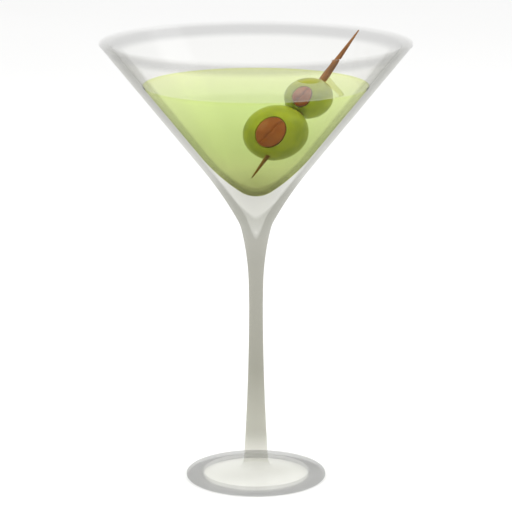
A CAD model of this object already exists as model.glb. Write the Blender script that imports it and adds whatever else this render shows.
import math

import bmesh
import bpy
from mathutils import Matrix, Vector, noise


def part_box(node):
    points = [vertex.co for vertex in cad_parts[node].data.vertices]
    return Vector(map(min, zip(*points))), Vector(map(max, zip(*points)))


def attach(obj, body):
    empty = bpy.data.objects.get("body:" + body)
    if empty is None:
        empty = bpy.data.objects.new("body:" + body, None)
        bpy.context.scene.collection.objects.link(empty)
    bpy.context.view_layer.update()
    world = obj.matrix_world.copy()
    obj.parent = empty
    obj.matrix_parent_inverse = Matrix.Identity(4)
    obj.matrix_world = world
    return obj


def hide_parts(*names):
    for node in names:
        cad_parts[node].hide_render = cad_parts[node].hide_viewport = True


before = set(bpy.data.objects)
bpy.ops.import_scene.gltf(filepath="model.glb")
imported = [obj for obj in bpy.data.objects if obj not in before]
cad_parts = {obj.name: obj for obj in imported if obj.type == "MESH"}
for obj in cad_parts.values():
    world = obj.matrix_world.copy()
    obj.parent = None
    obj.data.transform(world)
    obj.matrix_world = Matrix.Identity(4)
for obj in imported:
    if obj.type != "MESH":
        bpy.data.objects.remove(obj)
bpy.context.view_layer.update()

# A martini: the looks of the glass, the drink, the two stuffed olives and the wooden pick.
# Metres and degrees, in the frame of the CAD model: +Z up, -Y the front, and the origin in the
# middle of the foot's underside.

MM = 0.001

# ---------------------------------------------------------------- sizes, as in the CAD source

GLASS_HEIGHT = 170.0 * MM
RIM_RADIUS = 59.3 * MM
WALL = 2.8 * MM
BOWL_DEPTH = 58.9 * MM
BOTTOM_RADIUS = 10.7 * MM
BOTTOM_TURN = 34.5
SIDE_RADIUS = 70.9 * MM
LIP_OUTER = 0.6 * MM
LIP_INNER = 0.9 * MM
SHOULDER_RADIUS = 142.0 * MM
SHOULDER_TURN = 9.9
NECK_RADIUS = 14.0 * MM
STEM_TOP_RADIUS = 101.4 * MM
STEM_TOP_TURN = 13.5
WAIST_RADIUS = 2.75 * MM
WAIST_LENGTH = 5.4 * MM
FLARE_RADIUS = 1000.0 * MM
FOOT_RADIUS = 27.0 * MM
FOOT_EDGE = 0.8 * MM
FOOT_SLOPE = 4.0
FOOT_FILLET = 4.0 * MM
RECESS_RADIUS = 21.5 * MM
RECESS_BEVEL = 1.0 * MM
RECESS_DEPTH = 0.6 * MM
PICK_RADIUS = 1.5 * MM
PICK_TIP = 0.25 * MM
PICK_LOWER_TAPER = 23.0 * MM
PICK_UPPER_TAPER = 26.0 * MM
# Azimuth, lift and roll of each olive's mouth, and the roll of the oval stuffing in it.
FACING = {"lower": (-100.0, 11.0, 12.0), "upper": (-108.0, 12.0, 12.0)}
STUFFING_ROLL = 33.0

# ---------------------------------------------------------------- finish of the shapes

# How finely outlines are cut along and around, and what counts as on the axis.
FINE_TURN = math.radians(1.2)
COARSE_TURN = math.radians(7)
SHORTEST_STEP = 0.25 * MM
LONGEST_STEP = 2.5 * MM
AROUND = 256
PICK_AROUND = 40
SURFACE_RINGS = 40
ON_AXIS = 1e-7

# The drink reaches just into the wall and creeps up where it wets it.
DRINK_REACH = 0.25 * MM
MENISCUS_RISE = 0.3 * MM
MENISCUS_SPREAD = 0.9 * MM

# Flesh: the CAD shape remeshed and worn round, then made uneven by noise and drawn in a little.
WELD_GAP = 0.005 * MM
WEAR_FACTOR = 0.5
WEAR_ROUNDS = 4
OLIVE_VOXEL = 0.3 * MM
OLIVE_SEEDS = {"lower": Vector((3.1, 0.7, 5.2)), "upper": Vector((8.4, 2.9, 1.3))}
OLIVE_LUMP_SIZE = 7 * MM
OLIVE_LUMP = 0.16 * MM
OLIVE_DIMPLE_SIZE = 1.6 * MM
OLIVE_DIMPLE = 0.035 * MM
OLIVE_INSET = 0.06 * MM
STRIP_VOXEL = 0.22 * MM
STRIP_SEED = Vector((1.5, 4.0, 0.2))
STRIP_BULGE_SIZE = 2.2 * MM
STRIP_BULGE = 0.12 * MM
STRIP_INSET = 0.12 * MM
CREASE_DEPTH = 0.55 * MM
CREASE_WIDTH = 0.45 * MM
CREASE_WANDER = 0.5 * MM
CREASE_WANDER_SIZE = 3 * MM
CREASE_SEED = Vector((0, 0.3, 1.7))
CREASE_START = 3 * MM
CREASE_FADE = 2 * MM

# Wood: the pick's sides ripple a little.  Its lean is worked out from its box in a few rounds.
LEAN_ROUNDS = 3
PICK_RIPPLE_SIZE = 2.5 * MM
PICK_RIPPLE = 0.05 * MM
PICK_INSET = 0.04 * MM


# ---------------------------------------------------------------- outlines and turned meshes

class Outline:
    """Half of a section, as (radius, height) points: straight runs and rounds that flow on."""

    def __init__(self, radius, height, heading=0.0):
        self.points = [(radius, height)]
        self.heading = math.radians(heading)

    def run_to(self, radius, height):
        """A straight run, cut into even steps."""
        first = self.points[-1]
        length = math.dist(first, (radius, height))
        steps = max(1, math.ceil(length / LONGEST_STEP))
        for step in range(1, steps + 1):
            share = step / steps
            self.points.append((
                first[0] + (radius - first[0]) * share,
                first[1] + (height - first[1]) * share,
            ))
        self.heading = math.atan2(height - first[1], radius - first[0])

    def turn(self, radius, angle):
        """A round from where the outline stands, to the left if angle is positive."""
        total = math.radians(angle)
        side = math.copysign(1.0, total)
        start, heading = self.points[-1], self.heading
        centre = (
            start[0] - side * radius * math.sin(heading),
            start[1] + side * radius * math.cos(heading),
        )
        length = abs(total) * radius
        steps = math.ceil(max(
            min(abs(total) / FINE_TURN, length / SHORTEST_STEP),
            abs(total) / COARSE_TURN,
            length / LONGEST_STEP,
        ))
        for step in range(1, steps + 1):
            now = heading + total * step / steps
            self.points.append((
                centre[0] + side * radius * math.sin(now),
                centre[1] - side * radius * math.cos(now),
            ))
        self.heading = heading + total


def cone_slope():
    """Slope of the bowl's straight wall, tangent to the side round and WALL inside the rim."""
    turn = math.radians(BOTTOM_TURN)
    spread = SIDE_RADIUS - BOTTOM_RADIUS
    run = RIM_RADIUS + spread * math.sin(turn)
    rise = BOWL_DEPTH - BOTTOM_RADIUS - spread * math.cos(turn)
    return math.asin((SIDE_RADIUS + WALL) / math.hypot(run, rise)) + math.atan2(rise, run)


SLOPE = cone_slope()
HALF_ANGLE = math.pi / 2 - SLOPE
INNER_RIM = RIM_RADIUS - WALL / math.cos(HALF_ANGLE)
BOWL_BOTTOM = GLASS_HEIGHT - BOWL_DEPTH


def hollow_outline():
    """The bowl's inside from the bottom up to where the cone begins."""
    outline = Outline(0.0, BOWL_BOTTOM)
    outline.turn(BOTTOM_RADIUS, BOTTOM_TURN)
    outline.turn(SIDE_RADIUS, math.degrees(SLOPE) - BOTTOM_TURN)
    return outline


def outside_outline():
    """The foot, the stem and the bowl's outside, from the middle of the underside to the rim."""
    half = math.degrees(HALF_ANGLE)
    bowl = Outline(WAIST_RADIUS, 0.0, heading=90)
    bowl.turn(STEM_TOP_RADIUS, -STEM_TOP_TURN)
    bowl.turn(NECK_RADIUS, STEM_TOP_TURN + SHOULDER_TURN - half)
    bowl.turn(SHOULDER_RADIUS, -SHOULDER_TURN)
    end_radius, end_height = bowl.points[-1]
    cone_rise = (RIM_RADIUS - end_radius) / math.tan(HALF_ANGLE)
    waist_top = GLASS_HEIGHT - cone_rise - end_height
    waist_bottom = waist_top - WAIST_LENGTH

    slope = math.radians(FOOT_SLOPE)
    edge_centre = FOOT_RADIUS - FOOT_EDGE
    top_height = FOOT_EDGE + (FOOT_EDGE + FOOT_FILLET) / math.cos(slope)
    fillet_radius = WAIST_RADIUS + FOOT_FILLET + waist_bottom**2 / (2 * FLARE_RADIUS)
    fillet_height = top_height + (edge_centre - fillet_radius) * math.tan(slope)
    lean = math.asin((waist_bottom - fillet_height) / (FLARE_RADIUS - FOOT_FILLET))
    fillet_radius = WAIST_RADIUS + FLARE_RADIUS - (FLARE_RADIUS - FOOT_FILLET) * math.cos(lean)

    foot = Outline(0.0, RECESS_DEPTH)
    foot.run_to(RECESS_RADIUS - RECESS_BEVEL, RECESS_DEPTH)
    foot.run_to(RECESS_RADIUS, 0.0)
    foot.run_to(edge_centre, 0.0)
    foot.turn(FOOT_EDGE, 180 - FOOT_SLOPE)
    foot.run_to(fillet_radius - FOOT_FILLET * math.sin(slope),
                fillet_height - FOOT_FILLET * math.cos(slope))
    foot.turn(FOOT_FILLET, FOOT_SLOPE - 90 + math.degrees(lean))
    foot.turn(FLARE_RADIUS, -math.degrees(lean))
    foot.run_to(WAIST_RADIUS, waist_top)
    foot.points += [(radius, height + waist_top) for radius, height in bowl.points[1:]]
    return foot


def glass_outline():
    """The whole section: outside, the softened flat lip, and the hollow back to the axis."""
    outline = outside_outline()
    slope = math.degrees(SLOPE)
    outer_cut = LIP_OUTER * math.tan(math.radians(180 - slope) / 2)
    inner_cut = LIP_INNER * math.tan(math.radians(slope) / 2)
    outline.run_to(RIM_RADIUS - outer_cut * math.cos(SLOPE),
                   GLASS_HEIGHT - outer_cut * math.sin(SLOPE))
    outline.turn(LIP_OUTER, 180 - slope)
    outline.run_to(INNER_RIM + inner_cut, GLASS_HEIGHT)
    outline.turn(LIP_INNER, slope)
    hollow = hollow_outline().points
    outline.run_to(*hollow[-1])
    outline.points += hollow[-2::-1]
    return outline.points


def mesh_object(name, vertices, faces):
    """A smooth-shaded object from mesh data, its faces turned outwards."""
    mesh = bpy.data.meshes.new(name)
    mesh.from_pydata(vertices, [], faces)
    work = bmesh.new()
    work.from_mesh(mesh)
    bmesh.ops.recalc_face_normals(work, faces=work.faces)
    work.to_mesh(mesh)
    work.free()
    mesh.shade_smooth()
    piece = bpy.data.objects.new(name, mesh)
    bpy.context.scene.collection.objects.link(piece)
    return piece


def turned(name, section, around=AROUND, shape=None):
    """Turn a section that starts and ends on the axis.  shape may move each vertex."""
    vertices, rings, faces = [], [], []
    for radius, height in section:
        count = 1 if radius < ON_AXIS else around
        rings.append(range(len(vertices), len(vertices) + count))
        for number in range(count):
            angle = 2 * math.pi * number / around
            vertices.append(Vector((radius * math.cos(angle), radius * math.sin(angle), height)))
    for low, high in zip(rings[:-1], rings[1:]):
        for number in range(around):
            following = (number + 1) % around
            corners = [low[number % len(low)], low[following % len(low)],
                       high[following % len(high)], high[number % len(high)]]
            face = list(dict.fromkeys(corners))
            if len(face) > 2:
                faces.append(face)
    if shape:
        vertices = [shape(point) for point in vertices]
    return mesh_object(name, vertices, faces)


# ---------------------------------------------------------------- node materials

class Nodes:
    """A node material in the making: a Principled shader and what feeds it."""

    def __init__(self, name, **settings):
        self.material = bpy.data.materials.new(name)
        self.material.use_nodes = True
        self.tree = self.material.node_tree
        self.shader = self.tree.nodes["Principled BSDF"]
        for socket, value in settings.items():
            self.shader.inputs[socket.replace("_", " ")].default_value = value

    def add(self, kind, inputs=None, **settings):
        """A node with its settings and its inputs, each a value or another node's output."""
        node = self.tree.nodes.new(kind)
        for name, value in settings.items():
            setattr(node, name, value)
        for name, value in (inputs or {}).items():
            if isinstance(value, bpy.types.NodeSocket):
                self.tree.links.new(value, node.inputs[name])
            else:
                node.inputs[name].default_value = value
        return node

    def feed(self, socket, output):
        """Let a node's output drive a socket of the shader."""
        self.tree.links.new(output, self.shader.inputs[socket])

    def place(self):
        """The point on the piece, in its own metres."""
        return self.add("ShaderNodeTexCoord").outputs["Object"]

    def between(self, value, low, high):
        """0 where the value is low or less and 1 where it is high or more."""
        return self.add("ShaderNodeMapRange", {
            "Value": value, "From Min": low, "From Max": high,
        }).outputs["Result"]

    def height(self, low, high):
        """0 at one height and 1 at another."""
        parts = self.add("ShaderNodeSeparateXYZ", {"Vector": self.place()})
        return self.between(parts.outputs["Z"], low, high)

    def radius(self):
        """The distance from the glass's axis."""
        level = self.add("ShaderNodeVectorMath", {0: self.place(), 1: (1, 1, 0)},
                         operation="MULTIPLY")
        length = self.add("ShaderNodeVectorMath", {0: level.outputs["Vector"]},
                          operation="LENGTH")
        return length.outputs["Value"]

    def reckon(self, operation, first, second):
        """One number reckoned from two."""
        return self.add("ShaderNodeMath", {0: first, 1: second}, operation=operation).outputs[0]

    def grain(self, scale, detail=3.0, roughness=0.5, longer=(1, 1, 1), turn=(0, 0, 0)):
        """Noise with features of about 1 / scale metres, longer along a turned axis if asked."""
        spread = self.add("ShaderNodeMapping", {
            "Vector": self.place(), "Rotation": turn, "Scale": longer,
        }, vector_type="TEXTURE")
        return self.add("ShaderNodeTexNoise", {
            "Vector": spread.outputs["Vector"], "Scale": scale, "Detail": detail,
            "Roughness": roughness,
        }).outputs["Fac"]

    def ramp(self, value, *stops):
        """Colours or greys blended between (place, colour) stops, given in order."""
        node = self.add("ShaderNodeValToRGB", {"Fac": value})
        marks = node.color_ramp.elements
        while len(marks) < len(stops):
            marks.new(0.5)
        for mark, (place, _) in zip(marks, stops):
            mark.position = place
        for mark, (_, colour) in zip(marks, stops):
            mark.color = (*colour, 1.0) if isinstance(colour, tuple) else (colour,) * 3 + (1.0,)
        return node.outputs["Color"]

    def mix(self, share, first, second, blend="MIX"):
        """Two colours mixed by a share, each of them a value or another node's output."""
        node = self.add("ShaderNodeMix", data_type="RGBA", blend_type=blend)
        for socket, value in ((0, share), (6, first), (7, second)):
            if isinstance(value, bpy.types.NodeSocket):
                self.tree.links.new(value, node.inputs[socket])
            else:
                node.inputs[socket].default_value = value if socket == 0 else (*value, 1.0)
        return node.outputs[2]

    def bump(self, height, distance, strength):
        """Fine relief that only the shading shows."""
        node = self.add("ShaderNodeBump", {
            "Height": height, "Distance": distance, "Strength": strength,
        })
        self.feed("Normal", node.outputs["Normal"])

    def absorb(self, colour, density):
        """Plain absorption inside: density times one minus the colour, for each metre."""
        node = self.add("ShaderNodeVolumeAbsorption", {"Color": (*colour, 1), "Density": density})
        output = self.tree.nodes["Material Output"]
        self.tree.links.new(node.outputs["Volume"], output.inputs["Volume"])


# Stops by share of the glass's height, from the foot to the rim: its tint, greyer in the stem,
# under the bowl and at the lip; how far it is turned from the eye (Facing) where its grey edge
# has come in, over EDGE_BLUR before that; and how strong that edge is.
GLASS_TINT = (
    (0.00, (0.97, 0.97, 0.95)),
    (0.030, (1.00, 1.00, 0.97)),
    (0.055, (1.00, 0.99, 0.94)),
    (0.13, (1.00, 0.99, 0.92)),
    (0.25, (0.75, 0.74, 0.67)),
    (0.50, (0.86, 0.85, 0.80)),
    (0.55, (0.96, 0.95, 0.91)),
    (0.57, (0.90, 0.90, 0.86)),
    (0.60, (0.80, 0.80, 0.75)),
    (0.67, (0.84, 0.84, 0.80)),
    (0.70, (1.00, 1.00, 0.98)),
    (0.966, (1.00, 1.00, 0.99)),
    (0.976, (0.76, 0.76, 0.76)),
    (0.990, (0.76, 0.76, 0.76)),
    (0.996, (0.97, 0.97, 0.97)),
)
EDGE_START = (
    (0.545, 0.0),
    (0.575, 0.11),
    (0.60, 0.22),
    (0.625, 0.34),
    (0.65, 0.48),
    (0.70, 0.62),
    (0.80, 0.68),
    (0.91, 0.73),
)
EDGE_SHARE = (
    (0.018, 0.0),
    (0.03, 0.30),
    (0.055, 0.48),
    (0.10, 1.0),
    (0.55, 1.0),
    (0.60, 0.86),
    (0.66, 0.82),
    (0.75, 0.54),
    (0.96, 0.52),
    (0.98, 0.0),
)
EDGE_TINT = (0.48, 0.48, 0.45)
EDGE_BLUR = 0.05
# The flat ring that the foot stands on, and the foot's edge and top over it, are greyer too.
RING_START = RECESS_RADIUS - 1.5 * RECESS_BEVEL
RING_SHARE = ((0.03, 1.0), (0.04, 0.0))
RING_TINT = ((0.0, 0.80), (0.004, 0.60))
GLASS_COLOUR = (0.40, 0.40, 0.36)
GLASS_DENSITY = 22.0
GLASS_IOR = 1.001
GLASS_SHINE = 0.2
GLASS_SHINE_IOR = 1.45


def glass_material():
    """Clear glass that hardly bends what is behind it, with its shine in a coat."""
    look = Nodes("glass_clear", Roughness=0.0, IOR=GLASS_IOR, Transmission_Weight=1.0,
                 Coat_Weight=GLASS_SHINE, Coat_IOR=GLASS_SHINE_IOR, Coat_Roughness=0.0)
    height = look.height(0.0, GLASS_HEIGHT)
    tint = look.ramp(height, *GLASS_TINT)
    outer = look.between(look.radius(), RING_START, RING_START + RECESS_BEVEL)
    ring = look.reckon("MULTIPLY", outer, look.ramp(height, *RING_SHARE))
    tint = look.mix(ring, tint, look.ramp(height, *RING_TINT))
    # Glass seen edge-on is greyer, in a band about as wide as the wall is thick.
    edge_on = look.add("ShaderNodeLayerWeight", {"Blend": 0.5}).outputs["Facing"]
    past = look.reckon("SUBTRACT", edge_on, look.ramp(height, *EDGE_START))
    band = look.between(past, -EDGE_BLUR, 0.0)
    edge = look.reckon("MULTIPLY", band, look.ramp(height, *EDGE_SHARE))
    look.feed("Base Color", look.mix(edge, tint, look.mix(1.0, tint, EDGE_TINT, "MULTIPLY")))
    look.absorb(GLASS_COLOUR, GLASS_DENSITY)
    return look.material


# Stops by share of the drink's depth, from the bottom to the surface.
DRINK_TINT = (
    (0.0, (0.46, 0.48, 0.20)),
    (0.5, (0.58, 0.66, 0.28)),
    (0.97, (0.94, 1.00, 0.55)),
    (1.0, (0.93, 1.00, 0.45)),
)
DRINK_SHINE = ((0.994, 0.0), (0.998, 0.6))
DRINK_COLOUR = (0.62, 0.87, 0.25)
DRINK_DENSITY = 7.0
DRINK_IOR = 1.002
DRINK_SHINE_IOR = 1.33


def drink_material(level):
    """Clear liquid, greener and darker with depth, with a wet shine on its level surface only."""
    look = Nodes("drink_clear", Roughness=0.0, IOR=DRINK_IOR, Transmission_Weight=1.0,
                 Coat_IOR=DRINK_SHINE_IOR, Coat_Roughness=0.02)
    height = look.height(BOWL_BOTTOM, level)
    look.feed("Base Color", look.ramp(height, *DRINK_TINT))
    look.feed("Coat Weight", look.ramp(height, *DRINK_SHINE))
    look.absorb(DRINK_COLOUR, DRINK_DENSITY)
    return look.material


# Flesh and wood: stops by the value of a noise.
OLIVE_SKIN = (
    (0.30, (0.22, 0.24, 0.007)),
    (0.52, (0.30, 0.315, 0.011)),
    (0.75, (0.38, 0.38, 0.022)),
)
OLIVE_ROUGHNESS = ((0.3, 0.30), (0.8, 0.44))
FRECKLES = ((0.60, 0.0), (0.72, 1.0))
FRECKLE_COLOUR = (0.48, 0.47, 0.07)
FRECKLE_STRENGTH = 0.35
PIMENTO_FLESH = (
    (0.25, (0.21, 0.040, 0.004)),
    (0.5, (0.30, 0.058, 0.006)),
    (0.8, (0.37, 0.09, 0.012)),
)
PIMENTO_ROUGHNESS = ((0.3, 0.35), (0.8, 0.5))
WOOD_STREAKS = (
    (0.30, (0.12, 0.045, 0.012)),
    (0.5, (0.24, 0.10, 0.026)),
    (0.72, (0.35, 0.17, 0.055)),
)
WOOD_ROUGHNESS = ((0.3, 0.62), (0.7, 0.48))
WOOD_PATCHES = ((0.35, 0.0), (0.7, 0.35))
WOOD_PATCH_COLOUR = (0.30, 0.12, 0.030)
SOLID_IOR = 1.3
FLESH_SHINE = 0.1


def olive_material():
    """Wet olive skin: broad patches of green, pale freckles and fine pores."""
    look = Nodes("olive_skin", IOR=SOLID_IOR, Coat_Weight=FLESH_SHINE, Coat_Roughness=0.12)
    broad = look.grain(scale=220, detail=4)
    freckles = look.ramp(look.grain(scale=1900, detail=2), *FRECKLES)
    share = look.reckon("MULTIPLY", freckles, FRECKLE_STRENGTH)
    look.feed("Base Color", look.mix(share, look.ramp(broad, *OLIVE_SKIN), FRECKLE_COLOUR))
    look.feed("Roughness", look.ramp(broad, *OLIVE_ROUGHNESS))
    look.bump(look.grain(scale=900, detail=3), distance=0.12 * MM, strength=0.5)
    return look.material


def pimento_material():
    """Wet pimento, in patches of red-brown."""
    look = Nodes("pimento_flesh", IOR=SOLID_IOR, Coat_Weight=FLESH_SHINE, Coat_Roughness=0.15)
    broad = look.grain(scale=420, detail=4)
    look.feed("Base Color", look.ramp(broad, *PIMENTO_FLESH))
    look.feed("Roughness", look.ramp(broad, *PIMENTO_ROUGHNESS))
    look.bump(look.grain(scale=1500, detail=3), distance=0.1 * MM, strength=0.6)
    return look.material


def wood_material(turn):
    """Wood whose grain runs along the pick, turned as the pick is."""
    look = Nodes("pick_grain", IOR=SOLID_IOR)
    streaks = look.grain(scale=900, detail=5, roughness=0.6, longer=(1, 1, 25), turn=turn)
    broad = look.grain(scale=90, detail=2, longer=(1, 1, 2.5), turn=turn)
    patches = look.ramp(broad, *WOOD_PATCHES)
    look.feed("Base Color", look.mix(patches, look.ramp(streaks, *WOOD_STREAKS), WOOD_PATCH_COLOUR))
    look.feed("Roughness", look.ramp(streaks, *WOOD_ROUGHNESS))
    look.bump(streaks, distance=0.15 * MM, strength=0.7)
    return look.material


# ---------------------------------------------------------------- pieces

def complete(piece, node, material):
    """Give a piece its material and let it stand for its CAD node."""
    piece.data.materials.append(material)
    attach(piece, "root")
    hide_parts(node)


def make_glass():
    """Bowl, stem and foot in one, turned about the axis."""
    complete(turned("glass_body", glass_outline()), "glass", glass_material())


def widened(points, reach):
    """An outline moved outwards, its first point staying on the axis."""
    moved = []
    for number, (radius, height) in enumerate(points):
        before = points[max(number - 1, 0)]
        after = points[min(number + 1, len(points) - 1)]
        run, rise = after[0] - before[0], after[1] - before[1]
        length = math.hypot(run, rise)
        if number == 0:
            moved.append((0.0, height - reach))
        else:
            moved.append((radius + reach * rise / length, height - reach * run / length))
    return moved


def make_drink():
    """What fills the bowl, just into the wall, its surface creeping up where it wets the glass."""
    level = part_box("drink")[1][2]
    outline = hollow_outline()
    cone_radius, cone_height = outline.points[-1]
    edge = cone_radius + (level + MENISCUS_RISE - cone_height) * math.tan(HALF_ANGLE)
    outline.run_to(edge, level + MENISCUS_RISE)
    section = widened(outline.points, DRINK_REACH)
    for number in range(SURFACE_RINGS, -1, -1):
        radius = edge * math.sin(math.pi / 2 * number / SURFACE_RINGS)
        climb = MENISCUS_RISE * math.exp((radius - edge) / MENISCUS_SPREAD)
        section.append((radius, level + climb))
    complete(turned("drink_fill", section), "drink", drink_material(level))


def copy_of(node, name):
    """A new piece with the shape of a CAD node."""
    piece = bpy.data.objects.new(name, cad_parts[node].data.copy())
    piece.data.materials.clear()
    bpy.context.scene.collection.objects.link(piece)
    return piece


def apply_modifier(piece, kind, **settings):
    """Add a modifier and make its result the piece's own mesh."""
    modifier = piece.modifiers.new(kind.lower(), kind)
    for name, value in settings.items():
        setattr(modifier, name, value)
    graph = bpy.context.evaluated_depsgraph_get()
    mesh = bpy.data.meshes.new_from_object(piece.evaluated_get(graph))
    piece.modifiers.clear()
    piece.data = mesh


def soft_copy(node, name, voxel):
    """The node's shape with its corners worn round, as flesh is."""
    piece = copy_of(node, name)
    apply_modifier(piece, "WELD", merge_threshold=WELD_GAP)
    apply_modifier(piece, "REMESH", mode="VOXEL", voxel_size=voxel)
    apply_modifier(piece, "SMOOTH", factor=WEAR_FACTOR, iterations=WEAR_ROUNDS)
    piece.data.shade_smooth()
    return piece


def facing(which):
    """The olive's own axes: Z out of its mouth, X across the mouth and Y up it."""
    azimuth, lift, roll = (math.radians(angle) for angle in FACING[which])
    quarter = math.pi / 2
    return (Matrix.Rotation(azimuth, 3, "Z") @ Matrix.Rotation(quarter - lift, 3, "Y")
            @ Matrix.Rotation(quarter + roll, 3, "Z"))


def make_olive(which, material):
    """Olive flesh: the CAD oval made a little uneven, with a soft edge round the mouth."""
    piece = soft_copy(f"olive_{which}", f"olive_{which}_flesh", OLIVE_VOXEL)
    seed = OLIVE_SEEDS[which]
    normals = [vertex.normal.copy() for vertex in piece.data.vertices]
    for vertex, normal in zip(piece.data.vertices, normals):
        lump = OLIVE_LUMP * noise.noise(vertex.co / OLIVE_LUMP_SIZE + seed)
        dimple = OLIVE_DIMPLE * noise.noise(vertex.co / OLIVE_DIMPLE_SIZE + seed)
        vertex.co += normal * (lump + dimple - OLIVE_INSET)
    complete(piece, f"olive_{which}", material)


def make_pimento(which, material):
    """Stuffing: a strip of pimento folded double, so its face is creased along the middle."""
    node = f"pimento_{which}"
    piece = soft_copy(node, f"{node}_strip", STRIP_VOXEL)
    axes = facing(which) @ Matrix.Rotation(math.radians(STUFFING_ROLL), 3, "Z")
    middle = sum((Vector(corner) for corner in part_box(node)), Vector()) / 2
    reach = max((axes.inverted() @ (vertex.co - middle)).z for vertex in piece.data.vertices)
    normals = [vertex.normal.copy() for vertex in piece.data.vertices]
    for vertex, normal in zip(piece.data.vertices, normals):
        own = axes.inverted() @ (vertex.co - middle)
        front = max(0.0, min(1.0, (own.z - reach + CREASE_START) / CREASE_FADE))
        across = Vector((own.x / CREASE_WANDER_SIZE, 0, 0))
        wander = CREASE_WANDER * noise.noise(across + CREASE_SEED)
        crease = CREASE_DEPTH * math.exp(-((own.y - wander) / CREASE_WIDTH) ** 2)
        bulge = STRIP_BULGE * noise.noise(own / STRIP_BULGE_SIZE + STRIP_SEED)
        vertex.co += axes @ Vector((0, 0, -front * crease))
        vertex.co += normal * (bulge - STRIP_INSET)
    complete(piece, node, material)


def pick_ends():
    """The middles of the pick's two blunt points, from the box round it and the lean so far."""
    low, high = (Vector(corner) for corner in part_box("pick"))
    first, last = low, high
    for _ in range(LEAN_ROUNDS):
        along = (last - first).normalized()
        margin = Vector([PICK_TIP * math.sqrt(1 - part**2) for part in along])
        first, last = low + margin, high - margin
    return first, last


def make_pick():
    """The wooden spindle, turned and a little uneven."""
    first, last = pick_ends()
    length = (last - first).length
    lean = (last - first).to_track_quat("Z", "Y")
    outline = Outline(0.0, 0.0)
    outline.run_to(PICK_TIP, 0.0)
    outline.run_to(PICK_RADIUS, PICK_LOWER_TAPER)
    outline.run_to(PICK_RADIUS, length - PICK_UPPER_TAPER)
    outline.run_to(PICK_TIP, length)
    outline.run_to(0.0, length)

    def uneven(point):
        """A point of the upright pick made uneven and moved to the leaning one."""
        ripple = PICK_RIPPLE * noise.noise(point / PICK_RIPPLE_SIZE)
        outwards = Vector((point.x, point.y, 0)) / PICK_RADIUS
        return first + lean @ (point + outwards * (ripple - PICK_INSET))

    piece = turned("pick_spindle", outline.points, PICK_AROUND, uneven)
    complete(piece, "pick", wood_material(lean.to_euler()))


# ---------------------------------------------------------------- studio

FLOOR_HALF = 3.0
FLOOR_DROP = 0.05 * MM
FLOOR_TONES = ((0.3, (0.90, 0.90, 0.895)), (0.7, (0.91, 0.91, 0.905)))
WORLD_COLOUR = (1.0, 1.0, 1.0, 1.0)
LAMP_SIZE = 0.6
# Each lamp's place and its power in watts.
LAMPS = {"key": ((-0.7, -0.5, 0.9), 5.0), "fill": ((0.8, 0.1, 0.8), 3.0)}
LIGHT_BOUNCES = 32


def make_floor():
    """A plain pale floor, just under the foot."""
    look = Nodes("floor_pale", Roughness=0.9, Specular_IOR_Level=0.1)
    look.feed("Base Color", look.ramp(look.grain(scale=3.0, detail=2), *FLOOR_TONES))
    signs = ((-1, -1), (1, -1), (1, 1), (-1, 1))
    corners = [(x * FLOOR_HALF, y * FLOOR_HALF, -FLOOR_DROP) for x, y in signs]
    floor = mesh_object("floor", corners, [(0, 1, 2, 3)])
    floor.data.materials.append(look.material)


def make_lamp(name, place, power):
    """A square soft lamp that faces the middle of the glass."""
    data = bpy.data.lights.new(name, "AREA")
    data.size = LAMP_SIZE
    data.energy = power
    lamp = bpy.data.objects.new(name, data)
    bpy.context.scene.collection.objects.link(lamp)
    lamp.location = place
    aim = Vector((0, 0, GLASS_HEIGHT / 2)) - Vector(place)
    lamp.rotation_euler = aim.to_track_quat("-Z", "Y").to_euler()


def make_studio():
    """White light from all round, two soft lamps, and bounces enough to cross the glass."""
    world = bpy.data.worlds.new("studio")
    world.use_nodes = True
    world.node_tree.nodes["Background"].inputs["Color"].default_value = WORLD_COLOUR
    scene = bpy.context.scene
    scene.world = world
    for name, (place, power) in LAMPS.items():
        make_lamp(name, place, power)
    scene.view_settings.view_transform = "Standard"
    scene.cycles.max_bounces = LIGHT_BOUNCES
    scene.cycles.transmission_bounces = LIGHT_BOUNCES


CAMERA_PLACE = (0.0, -0.8808, 0.2924)
CAMERA_DIP = 13.1
CAMERA_LENS = 166.77
CAMERA_SENSOR = 36.0


def make_camera():
    """A long lens in front of the glass and a little above it, as the photograph is seen."""
    data = bpy.data.cameras.new("camera")
    data.lens = CAMERA_LENS
    data.sensor_width = CAMERA_SENSOR
    camera = bpy.data.objects.new("camera", data)
    bpy.context.scene.collection.objects.link(camera)
    camera.location = CAMERA_PLACE
    camera.rotation_euler = (math.radians(90 - CAMERA_DIP), 0, 0)
    bpy.context.scene.camera = camera


def main():
    make_camera()
    make_studio()
    make_floor()
    make_glass()
    make_drink()
    make_pick()
    olive_skin = olive_material()
    pimento_flesh = pimento_material()
    for which in ("lower", "upper"):
        make_olive(which, olive_skin)
        make_pimento(which, pimento_flesh)


main()
